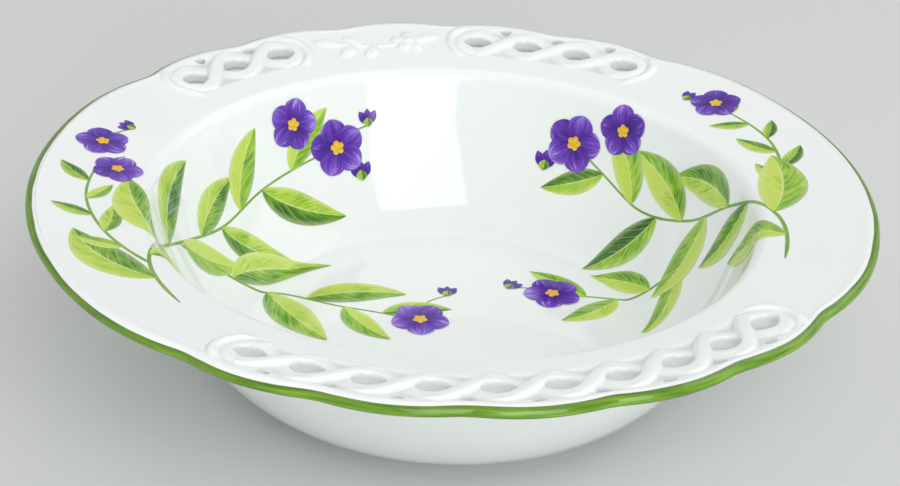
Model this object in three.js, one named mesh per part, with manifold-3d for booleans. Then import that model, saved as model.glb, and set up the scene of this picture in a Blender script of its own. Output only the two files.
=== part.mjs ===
// Salad bowl: a round porcelain serving bowl whose broad rim has a scalloped edge, two plain
// lobes and two panels of openwork, in which a flat ribbon of clay winds round itself in a chain.
// Millimetres, +Z up. The origin is on the table, on the bowl's axis; -Y is the front.
import * as THREE from 'three';
import { mergeVertices } from 'three/addons/utils/BufferGeometryUtils.js';
import Module from 'manifold-3d';

// Clay: thickness of the walls, and the seam left between neighbouring pieces
const wallThickness = 4.4;
const seam = 0.3;

// Foot: a low turned ring under the floor
const footRadius = 60;
const footWidth = 7;
const footHeight = 4;

// Well: a flat floor that sweeps up through a cove to an upright wall
const floorRadius = 63; // inside, where the cove starts
const wallRadius = 88.2; // inside, where the wall stands upright
const wallRise = 39.8; // inside, from the floor to the top of the wall
const coveFullness = 1.43; // 1 is an ellipse, 2 is a straight cone

// Rim: a shoulder turns the wall outwards into a plate that climbs gently to its edge
const shoulderRadius = 9.5;
const rimSlope = THREE.MathUtils.degToRad(9);
const edgeThickness = 3.4; // the plate thins to this at its edge
const innerBorder = 7.9; // plain plate between the shoulder and the openwork
const outerBorder = 1.2; // plain plate between the openwork and the notches of the scallops

// Edge: two plain lobes left and right, and a row of scallops along each openwork panel
const scallopCount = 5; // in each panel
const scallopDepth = 2.2;
const lobeBulge = 1; // the lobes stand out past the crests of the scallops
const lobeEase = THREE.MathUtils.degToRad(15); // stretch at each end of a lobe that falls to its notch
const bandDepth = 2.8; // green half-round lip
const bandProud = 0.15; // the lip stands above and below the plate

// Openwork: flat ribbons, each one closed loop twisted into a chain of eyes
const ribbonWidth = 4.4;
const ribbonThickness = 2.6;
const ribbonSwing = 5.6; // the ribbon's middle swings this far to either side
const frontTurn = THREE.MathUtils.degToRad(8.56); // from eye to eye, about the bowl's axis
const backTurn = THREE.MathUtils.degToRad(9.01);
const endReach = 5; // from the middle of the last eye to the ribbon's middle in the end turn
const frontEyes = 10;
const backLeftEyes = 3;
const sprigEyes = 3; // eyes that the flower sprig takes the place of
const backRightEyes = 4;
const backShift = THREE.MathUtils.degToRad(0.92); // from the middle of the back panel to the right
const piercingWidth = 3.4; // small holes outside the crossings
const piercingDepth = 2.4;
const piercingWeb = 1; // plate left between a hole and the lip

// Bead: a raised rib round each end turn
const beadWidth = 2.8;
const beadHeight = 1.1;
const beadGap = 0.6; // plate left between the openwork and the rib
const beadSpread = THREE.MathUtils.degToRad(52); // half of the arc that the rib follows

// Flower sprig: a raised spray on the plain part of the back panel
const petalCount = 5;
const petalLength = 6.5;
const petalWidth = 4.6;
const flowerPlace = 0.89; // share of the stem that lies to the left of the flower
const leafLength = 8.5;
const leafWidth = 4.6;
const leafSpread = THREE.MathUtils.degToRad(48); // between a leaf and the stem
const stemWidth = 1.6;
const sprigGap = 1.7; // plate left between the end leaves and the ribs
const stemSag = 6;
const sprigHeight = 1.3;

// Facets
const turns = 72; // of the turned pieces
const coveSteps = 8;
const shoulderSteps = 4;
const stepsPerEye = 8;
const endSteps = 8;
const stepsPerScallop = 8;
const lobeSteps = 18;

// Heights and radii that follow
const floorTop = footHeight + wallThickness;
const seatHeight = floorTop + wallRise; // the rim sits on the wall here
const shoulderAxis = wallRadius + shoulderRadius;
const plateStart = shoulderAxis - shoulderRadius * Math.sin(rimSlope);
const plateStartHeight = seatHeight + shoulderRadius * Math.cos(rimSlope);
const openworkHalf = ribbonSwing + ribbonWidth / 2;
const latticeRadius = plateStart + innerBorder + openworkHalf;
const crestRadius = latticeRadius + openworkHalf + outerBorder + scallopDepth + bandDepth;
const frontPitch = frontTurn * latticeRadius; // along the middle of the panel
const backPitch = backTurn * latticeRadius;
const beadReach = ribbonWidth / 2 + seam + beadGap + beadWidth; // outside of a rib, from the ribbon's middle
const steepest = Math.hypot(1, ribbonSwing * Math.PI / Math.min(frontPitch, backPitch)); // at a crossing
const overlapSine = Math.min(0.9, (ribbonWidth / 2 * steepest) / ribbonSwing);
const weaveLift = (ribbonThickness + seam) / 2 / Math.sqrt(1 - overlapSine ** 2);

const wasm = await Module();
wasm.setup();

// Solids for cutting and joining
function toManifold(geometry) {
  const bare = geometry.clone();
  bare.deleteAttribute('normal');
  bare.deleteAttribute('uv');
  const welded = mergeVertices(bare, 1e-4);
  const vertProperties = new Float32Array(welded.attributes.position.array);
  const triVerts = new Uint32Array(welded.index.array);
  return new wasm.Manifold(new wasm.Mesh({ numProp: 3, vertProperties, triVerts }));
}

function toGeometry(manifold) {
  const mesh = manifold.getMesh();
  const geometry = new THREE.BufferGeometry();
  geometry.setAttribute('position', new THREE.BufferAttribute(mesh.vertProperties, 3));
  geometry.setIndex(new THREE.BufferAttribute(mesh.triVerts, 1));
  geometry.computeVertexNormals();
  return geometry;
}

// A closed profile of (radius, height) points, counter-clockwise, turned about the bowl's axis
function turned(points) {
  const closed = [...points, points[0]].map(([r, z]) => new THREE.Vector2(r, z));
  return new THREE.LatheGeometry(closed, turns).rotateX(Math.PI / 2);
}

// A solid skinned over rings of points: a closed loop, or an open run with a flat cap at each end
function skinned(rings, closed) {
  const count = rings[0].length;
  const index = [];
  const spans = closed ? rings.length : rings.length - 1;
  for (let i = 0; i < spans; i++) {
    const next = (i + 1) % rings.length;
    for (let j = 0; j < count; j++) {
      const side = (j + 1) % count;
      const [a, b] = [i * count + j, i * count + side];
      const [c, d] = [next * count + side, next * count + j];
      index.push(a, b, c, a, c, d);
    }
  }
  if (!closed) {
    const last = spans * count;
    for (let j = 1; j < count - 1; j++) {
      index.push(0, j + 1, j);
      index.push(last, last + j, last + j + 1);
    }
  }
  const geometry = new THREE.BufferGeometry().setFromPoints(rings.flat());
  geometry.setIndex(index);
  geometry.computeVertexNormals();
  return geometry;
}

// A prism over a plan outline, tall enough to pass through the whole rim
function planPrism(points) {
  const shape = new THREE.Shape(points);
  const depth = seatHeight + 4 * crestRadius * Math.tan(rimSlope);
  return new THREE.ExtrudeGeometry(shape, { depth, bevelEnabled: false });
}

// Plate: the rim's top, middle and underside are cones
function plateTop(radius) {
  return plateStartHeight + (radius - plateStart) * Math.tan(rimSlope);
}

function plateDrop(radius) {
  const share = (radius - plateStart) / (crestRadius - plateStart);
  return THREE.MathUtils.lerp(wallThickness, edgeThickness, share) / Math.cos(rimSlope);
}

function plateMiddle(radius) {
  return plateTop(radius) - plateDrop(radius) / 2;
}

// Edge outline: radius of the bowl's edge in the direction `angle`
function edgeRadius(angle) {
  const fromLobe = Math.abs(Math.atan2(Math.sin(angle), Math.abs(Math.cos(angle))));
  const panelStart = Math.PI / 4;
  if (fromLobe < panelStart) {
    const ease = Math.max(0, (fromLobe - panelStart + lobeEase) / lobeEase);
    return crestRadius + lobeBulge - (scallopDepth + lobeBulge) * ease ** 2;
  }
  const place = (fromLobe - panelStart) / (Math.PI / 2) * scallopCount;
  return crestRadius - scallopDepth * (1 - Math.sin(Math.PI * (place % 1)));
}

// Directions in which the edge is sampled, going once round from the right-hand lobe
function edgeAngles() {
  const angles = [];
  for (let side = 0; side < 4; side++) {
    const steps = side % 2 ? scallopCount * stepsPerScallop : lobeSteps;
    for (let i = 0; i < steps; i++) {
      angles.push((side - 0.5 + i / steps) * Math.PI / 2);
    }
  }
  return angles;
}

// Well: inside surface by a rounded-cove formula, outside one wall thickness away from it
function coveProfile(offset) {
  const points = [];
  for (let i = 0; i <= coveSteps; i++) {
    const a = Math.PI / 2 * i / coveSteps;
    const across = (wallRadius - floorRadius) * Math.sin(a) ** (coveFullness - 1) * Math.cos(a);
    const up = wallRise * Math.cos(a) ** (coveFullness - 1) * Math.sin(a);
    const flat = i === 0;
    const upright = i === coveSteps;
    const length = Math.hypot(across, up);
    const out = flat ? 0 : upright ? 1 : up / length;
    const down = flat ? 1 : upright ? 0 : across / length;
    const radius = floorRadius + (wallRadius - floorRadius) * Math.sin(a) ** coveFullness;
    const height = floorTop + wallRise * (1 - Math.cos(a) ** coveFullness);
    points.push([radius + offset * out, height - offset * down]);
  }
  return points;
}

function wellGeometry() {
  const outside = [[0, footHeight], ...coveProfile(wallThickness)];
  const inside = [[0, floorTop], ...coveProfile(0)];
  const points = [...outside, ...inside.reverse()].map(([r, z]) => new THREE.Vector2(r, z));
  return new THREE.LatheGeometry(points, turns).rotateX(Math.PI / 2);
}

function footGeometry() {
  const inside = footRadius - footWidth;
  const chamfer = footWidth / 6;
  return turned([
    [inside, footHeight],
    [inside + chamfer, 0],
    [footRadius - chamfer, 0],
    [footRadius, chamfer],
    [footRadius, footHeight],
  ]);
}

// Openwork: a point in the panel's own terms, `along` it and `across` it, as angle and radius
function panelPoint(middle, along, across) {
  const angle = middle + along / latticeRadius;
  const radius = latticeRadius + across;
  return new THREE.Vector2(radius * Math.cos(angle), radius * Math.sin(angle));
}

// One twisted loop: stations with a place, a direction across the ribbon, its half width and its lift
function loopStations({ eyes, pitch }) {
  const first = -(eyes - 1) / 2 * pitch;
  const wave = Math.PI / pitch;
  const stations = [];
  const strand = (i, sign) => {
    const phase = Math.PI * i / stepsPerEye;
    const slope = ribbonSwing * wave * Math.sin(phase);
    stations.push({
      along: first + pitch * i / stepsPerEye,
      across: sign * ribbonSwing * Math.cos(phase),
      normal: [0, -sign],
      half: Math.hypot(1, slope),
      lift: sign * weaveLift * Math.sin(phase),
    });
  };
  const turn = (end, from, rise) => {
    const around = Math.PI * Math.hypot(endReach, ribbonSwing) / Math.SQRT2;
    for (let i = 1; i < endSteps; i++) {
      const a = Math.PI * i / endSteps;
      const across = from * Math.cos(a);
      const normal = [end * Math.sin(a) / endReach, across / ribbonSwing];
      const length = Math.hypot(...normal);
      stations.push({
        along: end * (-first + endReach * Math.sin(a)),
        across: ribbonSwing * across,
        normal: normal.map((part) => -part / length * from * end),
        half: 1,
        lift: rise * weaveLift * wave * around / (2 * Math.PI) * Math.sin(2 * a),
      });
    }
  };
  const last = (eyes - 1) * stepsPerEye;
  const lastSide = eyes % 2 ? 1 : -1;
  for (let i = 0; i <= last; i++) {
    strand(i, 1);
  }
  turn(1, lastSide, lastSide);
  for (let i = last; i >= 0; i--) {
    strand(i, -1);
  }
  turn(-1, -1, 1);
  return stations;
}

// The window that a loop sits in: the outer line of its ribbon, one seam wider
function windowOutline({ eyes, pitch, middle }) {
  const reach = ribbonWidth / 2 + seam;
  const first = -(eyes - 1) / 2 * pitch;
  const last = (eyes - 1) * stepsPerEye;
  const points = [];
  const side = (i, sign) => {
    const phase = Math.PI * i / stepsPerEye;
    const slope = ribbonSwing * Math.PI / pitch * Math.sin(phase);
    const across = ribbonSwing * Math.abs(Math.cos(phase)) + reach * Math.hypot(1, slope);
    points.push(panelPoint(middle, first + pitch * i / stepsPerEye, sign * across));
  };
  const turn = (end) => {
    for (let i = 1; i < endSteps; i++) {
      const a = Math.PI * i / endSteps;
      const normal = new THREE.Vector2(Math.sin(a) / endReach, Math.cos(a) / ribbonSwing).normalize();
      const along = -first + endReach * Math.sin(a) + reach * normal.x;
      const across = ribbonSwing * Math.cos(a) + reach * normal.y;
      points.push(panelPoint(middle, end * along, -end * across));
    }
  };
  for (let i = 0; i <= last; i++) {
    side(i, -1);
  }
  turn(1);
  for (let i = last; i >= 0; i--) {
    side(i, 1);
  }
  turn(-1);
  return points;
}

// Ribbon section: flat in the middle, thinning to both edges
const ribbonSection = [[1, 0], [0.5, 1], [-0.5, 1], [-1, 0], [-0.5, -1], [0.5, -1]];

function ribbonGeometry(panel) {
  const rings = loopStations(panel).map((station) => ribbonSection.map(([u, v]) => {
    const reach = u * ribbonWidth / 2 * station.half;
    const along = station.along + station.normal[0] * reach;
    const across = station.across + station.normal[1] * reach;
    const place = panelPoint(panel.middle, along, across);
    const height = plateMiddle(place.length()) + station.lift + v * ribbonThickness / 2;
    return new THREE.Vector3(place.x, place.y, height);
  }));
  return skinned(rings, true);
}

// Small rounded-triangle holes outside each crossing, pointing at it
function piercings({ eyes, pitch, middle }) {
  return Array.from({ length: eyes - 1 }, (_, i) => {
    const along = (i - (eyes - 2) / 2) * pitch;
    const edge = edgeRadius(middle + along / latticeRadius) - bandDepth - seam;
    const base = edge - piercingWeb - latticeRadius;
    const half = piercingWidth / 2;
    return planPrism([
      panelPoint(middle, along - half * 0.3, base - piercingDepth),
      panelPoint(middle, along + half * 0.3, base - piercingDepth),
      panelPoint(middle, along + half, base - piercingDepth * 0.25),
      panelPoint(middle, along + half * 0.6, base),
      panelPoint(middle, along - half * 0.6, base),
      panelPoint(middle, along - half, base - piercingDepth * 0.25),
    ]);
  });
}

// Raised rib that follows an end turn of the openwork and thins towards both ends
function endBead({ eyes, pitch, middle }, end) {
  const reach = beadReach - beadWidth / 2;
  const lastEye = (eyes - 1) / 2 * pitch;
  const rings = [];
  for (let i = 0; i <= endSteps; i++) {
    const a = end * beadSpread * (2 * i / endSteps - 1);
    const normal = new THREE.Vector2(Math.cos(a) / endReach, Math.sin(a) / ribbonSwing).normalize();
    const size = 0.25 + 0.75 * Math.cos(Math.PI / 2 * a / beadSpread);
    const ring = [];
    for (let j = 0; j < 8; j++) {
      const b = 2 * Math.PI * j / 8;
      const out = reach + beadWidth / 2 * size * Math.cos(b);
      const along = lastEye + endReach * Math.cos(a) + out * normal.x;
      const across = ribbonSwing * Math.sin(a) + out * normal.y;
      const place = panelPoint(middle, end * along, across);
      const height = plateTop(place.length()) + beadHeight * size * Math.sin(b);
      ring.push(new THREE.Vector3(place.x, place.y, height));
    }
    rings.push(ring);
  }
  return skinned(rings, false);
}

// Rim: shoulder and plate turned as one, trimmed to the scallops, pierced and beaded
const backMiddle = Math.PI / 2 - backShift;
const backRight = backMiddle - (backLeftEyes + sprigEyes) / 2 * backTurn;
const backLeft = backMiddle + (backRightEyes + sprigEyes) / 2 * backTurn;
const panels = [
  { name: 'front_lattice', eyes: frontEyes, pitch: frontPitch, middle: -Math.PI / 2 },
  { name: 'back_right_lattice', eyes: backRightEyes, pitch: backPitch, middle: backRight },
  { name: 'back_left_lattice', eyes: backLeftEyes, pitch: backPitch, middle: backLeft },
];

function rimGeometry() {
  const past = crestRadius + lobeBulge + bandDepth;
  const shoulder = (radius) => Array.from({ length: shoulderSteps + 1 }, (_, i) => {
    const a = Math.PI - (Math.PI / 2 - rimSlope) * i / shoulderSteps;
    return [shoulderAxis + radius * Math.cos(a), seatHeight + radius * Math.sin(a)];
  });
  const under = [...shoulder(shoulderRadius - wallThickness), [past, plateTop(past) - plateDrop(past)]];
  const over = [...shoulder(shoulderRadius), [past, plateTop(past)]];
  const trim = edgeAngles().map((angle) => {
    const radius = edgeRadius(angle) - bandDepth - seam;
    return new THREE.Vector2(radius * Math.cos(angle), radius * Math.sin(angle));
  });
  let rim = toManifold(turned([...under, ...over.reverse()])).intersect(toManifold(planPrism(trim)));
  for (const panel of panels) {
    rim = rim.subtract(toManifold(planPrism(windowOutline(panel))));
    for (const hole of piercings(panel)) {
      rim = rim.subtract(toManifold(hole));
    }
    for (const end of [-1, 1]) {
      rim = rim.add(toManifold(endBead(panel, end)));
    }
  }
  return toGeometry(rim);
}

// Green lip: a half-round strip that follows the scallops
function bandGeometry() {
  const steps = 6;
  const rings = edgeAngles().map((angle) => Array.from({ length: steps + 1 }, (_, i) => {
    const a = Math.PI * (0.5 - i / steps);
    const inside = edgeRadius(angle) - bandDepth;
    const radius = inside + bandDepth * Math.cos(a);
    const height = plateMiddle(inside) + (plateDrop(inside) / 2 + bandProud) * Math.sin(a);
    return new THREE.Vector3(radius * Math.cos(angle), radius * Math.sin(angle), height);
  }));
  return skinned(rings, true);
}

// Flower sprig: a flower on a bent stem with five leaves, seated on the plate
function sprigGeometry() {
  const middle = backMiddle + (backRightEyes - backLeftEyes) / 2 * backTurn;
  const spot = panelPoint(middle, 0, 0);
  const seat = new THREE.Object3D();
  seat.position.set(spot.x, spot.y, plateTop(latticeRadius));
  seat.rotation.set(rimSlope, 0, middle - Math.PI / 2, 'ZYX');
  seat.updateMatrix();
  const seated = (geometry) => toManifold(geometry.applyMatrix4(seat.matrix));
  const lens = (length, width, tall, x, y, angle) => {
    const geometry = new THREE.SphereGeometry(1, 10, 8).scale(length / 2, width / 2, tall);
    return seated(geometry.translate(length / 2, 0, 0).rotateZ(angle).translate(x, y, 0));
  };
  const stemLength = (sprigEyes + 1) * backPitch - 2 * (endReach + beadReach + sprigGap + leafLength);
  const stem = new THREE.QuadraticBezierCurve3(
    new THREE.Vector3(-stemLength / 2, 0, 0),
    new THREE.Vector3(0, -stemSag, 0),
    new THREE.Vector3(stemLength / 2, 0, 0),
  );
  const round = new THREE.Shape().absarc(0, 0, stemWidth / 2, 0, 2 * Math.PI);
  const stalk = new THREE.ExtrudeGeometry(round, { extrudePath: stem, steps: 10, curveSegments: 4 });
  const flower = stem.getPoint(flowerPlace);
  const heartHeight = sprigHeight + stemWidth / 2;
  const heart = lens(petalWidth, petalWidth, heartHeight, flower.x - petalWidth / 2, flower.y, 0);
  let sprig = seated(stalk).add(heart);
  for (let i = 0; i < petalCount; i++) {
    const angle = Math.PI * (0.5 + 2 * i / petalCount);
    sprig = sprig.add(lens(petalLength, petalWidth, sprigHeight, flower.x, flower.y, angle));
  }
  const leaves = [
    { at: 0.98, side: 0 },
    { at: 0.5, side: -1 },
    { at: 0.3, side: 1 },
    { at: 0.2, side: -1 },
    { at: 0.02, side: 0 },
  ];
  for (const { at, side } of leaves) {
    const root = stem.getPoint(at);
    const tangent = stem.getTangent(at);
    const away = at > 0.5 ? 0 : Math.PI;
    const angle = Math.atan2(tangent.y, tangent.x) + away - side * leafSpread;
    sprig = sprig.add(lens(leafLength, leafWidth, sprigHeight, root.x, root.y, angle));
  }
  const below = turned([
    [plateStart, 0],
    [crestRadius, 0],
    [crestRadius, plateTop(crestRadius) + seam],
    [plateStart, plateStartHeight + seam],
  ]);
  return toGeometry(sprig.subtract(toManifold(below)));
}

// Scene
const bowl = new THREE.Group();
const porcelain = { color: 0xf1f4f0, roughness: 0.08, metalness: 0 };
const greenEnamel = { color: 0x6f9a2b, roughness: 0.12, metalness: 0 };

function addPiece(name, geometry, finish) {
  const mesh = new THREE.Mesh(geometry, new THREE.MeshStandardMaterial(finish));
  mesh.name = name;
  bowl.add(mesh);
  return mesh;
}

addPiece('foot_ring', footGeometry(), porcelain);
addPiece('well', wellGeometry(), porcelain);
addPiece('rim', rimGeometry(), porcelain);
for (const panel of panels) {
  addPiece(panel.name, ribbonGeometry(panel), porcelain);
}
addPiece('flower_sprig', sprigGeometry(), porcelain);
addPiece('green_edge', bandGeometry(), greenEnamel);

export default bowl;
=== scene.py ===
import bisect
import math
import random
import bpy
import bmesh
from mathutils import Matrix, Vector


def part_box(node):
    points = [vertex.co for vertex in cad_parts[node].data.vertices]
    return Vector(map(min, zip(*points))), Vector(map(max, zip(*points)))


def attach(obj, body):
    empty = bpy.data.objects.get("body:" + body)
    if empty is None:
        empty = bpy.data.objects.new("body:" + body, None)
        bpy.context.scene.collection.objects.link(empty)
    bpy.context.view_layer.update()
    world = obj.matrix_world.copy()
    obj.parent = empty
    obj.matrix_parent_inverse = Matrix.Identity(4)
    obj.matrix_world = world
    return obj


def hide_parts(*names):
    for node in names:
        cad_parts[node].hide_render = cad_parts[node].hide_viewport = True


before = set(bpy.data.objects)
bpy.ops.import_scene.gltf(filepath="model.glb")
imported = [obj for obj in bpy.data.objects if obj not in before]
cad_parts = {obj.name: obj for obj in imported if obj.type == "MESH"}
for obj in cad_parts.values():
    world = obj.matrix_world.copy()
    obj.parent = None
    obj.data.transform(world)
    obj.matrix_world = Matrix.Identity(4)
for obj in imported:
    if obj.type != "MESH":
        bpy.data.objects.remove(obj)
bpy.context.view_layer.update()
print("frame loaded,", len(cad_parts), "solids")

mm = 0.001
tiny = 0.01  # mm; vertices closer than this are one
fullTurn = 2 * math.pi
glassIor = 1.52  # of glaze and enamel


def ink(text):  # sRGB hex to linear colour
    parts = [int(text[i:i + 2], 16) / 255 for i in (1, 3, 5)]
    return [p / 12.92 if p <= 0.04045 else ((p + 0.055) / 1.055) ** 2.4 for p in parts] + [1.0]


def addNode(tree, kind, inputs={}, **settings):  # a node with its settings and links
    node = tree.nodes.new(kind)
    for name, value in settings.items():
        setattr(node, name, value)
    for name, value in inputs.items():
        if isinstance(value, bpy.types.NodeSocket):
            tree.links.new(value, node.inputs[name])
        else:
            node.inputs[name].default_value = value
    return node


def newMaterial(name):
    material = bpy.data.materials.new(name)
    material.use_nodes = True
    tree = material.node_tree
    return material, tree, tree.nodes["Principled BSDF"]


def coat(tree, shader, colour, roughness):  # a glassy finish of one roughness
    tree.links.new(colour, shader.inputs["Base Color"])
    shader.inputs["Roughness"].default_value = roughness
    shader.inputs["IOR"].default_value = glassIor


def setStops(ramp, stops):  # positions and colours; a new ramp has two stops already
    for i, (position, colour) in enumerate(stops):
        stop = ramp.elements[i] if i < 2 else ramp.elements.new(position)
        stop.position = position
        stop.color = colour


def smoothStep(low, high, value):
    t = min(1.0, max(0.0, (value - low) / (high - low)))
    return t * t * (3 - 2 * t)


def shares(count):  # from 0 to 1 in so many steps
    return [i / count for i in range(count + 1)]


def polarPoint(angle, radius, height):  # mm to metres
    return Vector((radius * math.cos(angle), radius * math.sin(angle), height)) * mm


def angleOf(v):
    return math.atan2(v.co.y, v.co.x)


def radiusOf(v):  # in mm
    return math.hypot(v.co.x, v.co.y) / mm


def addObject(name, data):
    item = bpy.data.objects.new(name, data)
    bpy.context.scene.collection.objects.link(item)
    return item


def addMesh(name, bm):
    mesh = bpy.data.meshes.new(name)
    bm.to_mesh(mesh)
    bm.free()
    return addObject(name, mesh)


def finishPiece(bm, name, materials, slot, *nodes):
    bmesh.ops.recalc_face_normals(bm, faces=bm.faces[:])
    for face in bm.faces:
        face.smooth = True
    piece = addMesh(name, bm)
    for material in materials:
        piece.data.materials.append(material)
    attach(piece, "root")
    if nodes:
        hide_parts(*nodes)
    print(name, len(piece.data.polygons), "faces")


# Section of the bowl, in mm
section = {
    "wall": 4.4,
    "footRadius": 60.0,
    "footWidth": 7.0,
    "footHeight": 4.0,
    "floorRadius": 63.0,
    "wallRadius": 88.2,
    "wallRise": 39.8,
    "coveFullness": 1.43,
    "shoulder": 9.5,
    "flare": math.radians(19),  # inside, the wall leans out by this much up to the plate
    "insideTurn": 5.0,  # radius between the leaning wall and the plate
    "slope": math.radians(9),
    "edgeThickness": 3.4,  # the plate thins to this at its edge
    "plateJoin": 97.5,  # a ring of vertices on the straight of the plate
    "rimStart": 98.5,  # the rim's own mesh comes out here
    "rimTuck": 1.1,  # and runs on this far under the skin of the well
    "floorSteps": 12,
    "coveSteps": 60,
    "wallSteps": 10,
    "turnSteps": 14,
}
# Edge outline, in mm
edge = {
    "crest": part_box("green_edge")[1][1] / mm,  # radius at the crests of the scallops
    "scallops": 5,
    "scallopDepth": 2.2,
    "lobeBulge": 1.0,
    "lobeEase": math.radians(15),
    "notchSoft": math.radians(0.8),
    "bandDepth": 2.8,
    "bandProud": 0.14,
    "bandSteps": 14,
    "lineStart": 0.085,  # share of the half round that stays white above the green line
    "lineLoss": 0.15,  # more of it where the brush ran dry
    "lineTurn": math.radians(222),  # direction of that place
    "lineGain": 0.07,  # and less of it where the brush was full
    "gainTurn": math.radians(163),
    "tongue": (0.5, 0.1),  # it runs on so far under the plate's skin, and drops so much
    "turnSteps": 720,
}
floorTop = section["footHeight"] + section["wall"]
seatHeight = floorTop + section["wallRise"]
shoulderAxis = section["wallRadius"] + section["shoulder"]
plateStart = shoulderAxis - section["shoulder"] * math.sin(section["slope"])
plateStartHeight = seatHeight + section["shoulder"] * math.cos(section["slope"])


def plateTop(radius):
    return plateStartHeight + (radius - plateStart) * math.tan(section["slope"])


def plateDrop(radius):  # from the top of the plate to its underside
    share = (radius - plateStart) / (edge["crest"] - plateStart)
    thickness = section["wall"] + (section["edgeThickness"] - section["wall"]) * share
    return thickness / math.cos(section["slope"])


def covePoint(t, offset):  # t runs from 0 at the floor to 1 at the top of the wall
    a = math.pi / 2 * min(max(t, 1e-6), 1 - 1e-6)
    full, start, rise = section["coveFullness"], section["floorRadius"], section["wallRise"]
    reach = section["wallRadius"] - start
    across = reach * math.sin(a) ** (full - 1) * math.cos(a)
    up = rise * math.cos(a) ** (full - 1) * math.sin(a)
    size = math.hypot(across, up)
    radius = start + reach * math.sin(a) ** full
    height = floorTop + rise * (1 - math.cos(a) ** full)
    return radius + offset * up / size, height - offset * across / size


def shoulderPoint(t, radius):  # t runs from 0 at the wall to 1 at the plate
    a = math.pi - (math.pi / 2 - section["slope"]) * t
    return shoulderAxis + radius * math.cos(a), seatHeight + radius * math.sin(a)


def insideSection():  # floor, cove, leaning wall, turn and plate, from the axis outwards
    lean, slope, turn = section["flare"], section["slope"], section["insideTurn"]
    points = [(section["floorRadius"] * t, floorTop) for t in shares(section["floorSteps"])[:-1]]
    for t in shares(section["coveSteps"])[:-1]:  # until it is as steep as the lean
        radius, height = covePoint(t, 0)
        if t and radius - points[-1][0] < math.tan(lean) * (height - points[-1][1]):
            break
        points.append((radius, height))
    radius, height = points[-1]
    turned = math.pi / 2 - lean - slope
    reach = (plateTop(radius) - height) / (math.cos(lean) - math.sin(lean) * math.tan(slope))
    reach -= turn * math.tan(turned / 2)  # the straight ends where the turn begins
    for t in shares(section["wallSteps"])[1:]:
        points.append((radius + reach * t * math.sin(lean), height + reach * t * math.cos(lean)))
    axis = points[-1][0] + turn * math.cos(lean), points[-1][1] - turn * math.sin(lean)
    for t in shares(section["turnSteps"])[1:]:
        a = math.pi - lean - turned * t
        points.append((axis[0] + turn * math.cos(a), axis[1] + turn * math.sin(a)))
    points += [(r, plateTop(r)) for r in (section["plateJoin"], section["rimStart"])]
    return points


def lineStart(angle):  # the powers keep both stretches short
    dry = edge["lineLoss"] * max(0, math.cos(angle - edge["lineTurn"])) ** 4
    full = edge["lineGain"] * max(0, math.cos(angle - edge["gainTurn"])) ** 8
    return edge["lineStart"] + dry - full


def edgeOutline(angle):
    fromLobe = abs(math.atan2(math.sin(angle), abs(math.cos(angle))))
    panelStart = math.pi / 4
    if fromLobe < panelStart:
        ease = max(0, (fromLobe - panelStart + edge["lobeEase"]) / edge["lobeEase"])
        fall = (edge["scallopDepth"] + edge["lobeBulge"]) * ease ** 2
        return edge["crest"] + edge["lobeBulge"] - fall
    place = (fromLobe - panelStart) / (math.pi / 2) * edge["scallops"]
    return edge["crest"] - edge["scallopDepth"] * (1 - math.sin(math.pi * (place % 1)))


def edgeRadius(angle):  # the outline with its notches rounded, as the glaze leaves them
    return sum(edgeOutline(angle + edge["notchSoft"] * i) for i in (-1.5, -0.5, 0.5, 1.5)) / 4


# Glazed porcelain: fired clear glaze over a white body, glossy, with a faint swell and
# a cooler, greyer tone in the hollows of the relief and on the sides of the eyes: partly the glaze
# pooling there, partly painted shade
def glazedPorcelain():
    material, tree, shader = newMaterial("glazedPorcelain")
    place = addNode(tree, "ShaderNodeTexCoord")
    cloud = addNode(tree, "ShaderNodeTexNoise", {
        "Vector": place.outputs["Object"], "Scale": 1 / (45 * mm), "Detail": 3.0})
    body = addNode(tree, "ShaderNodeMix", {
        "Factor": cloud.outputs["Fac"], "A": ink("#ecf2f0"), "B": ink("#f4f8f6")}, data_type="RGBA")
    poolAndShade = addNode(tree, "ShaderNodeAttribute", attribute_name="glazePoolAndShade")
    # greyer where the glaze pools and where painted shade lies, in the hollows and on the sides of
    # the eyes
    tone = addNode(tree, "ShaderNodeMix", {
        "Factor": poolAndShade.outputs["Fac"], "A": body.outputs["Result"], "B": ink("#cbd4cf")},
        data_type="RGBA")
    fine = addNode(tree, "ShaderNodeTexNoise", {
        "Vector": place.outputs["Object"], "Scale": 1 / (9 * mm)})
    gloss = addNode(tree, "ShaderNodeMapRange", {
        "Value": fine.outputs["Fac"], "To Min": 0.035, "To Max": 0.085})
    swell = addNode(tree, "ShaderNodeBump", {
        "Height": cloud.outputs["Fac"], "Strength": 0.25, "Distance": 0.25 * mm})
    tree.links.new(tone.outputs["Result"], shader.inputs["Base Color"])
    tree.links.new(gloss.outputs["Result"], shader.inputs["Roughness"])
    tree.links.new(swell.outputs["Normal"], shader.inputs["Normal"])
    shader.inputs["IOR"].default_value = glassIor
    return material
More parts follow.
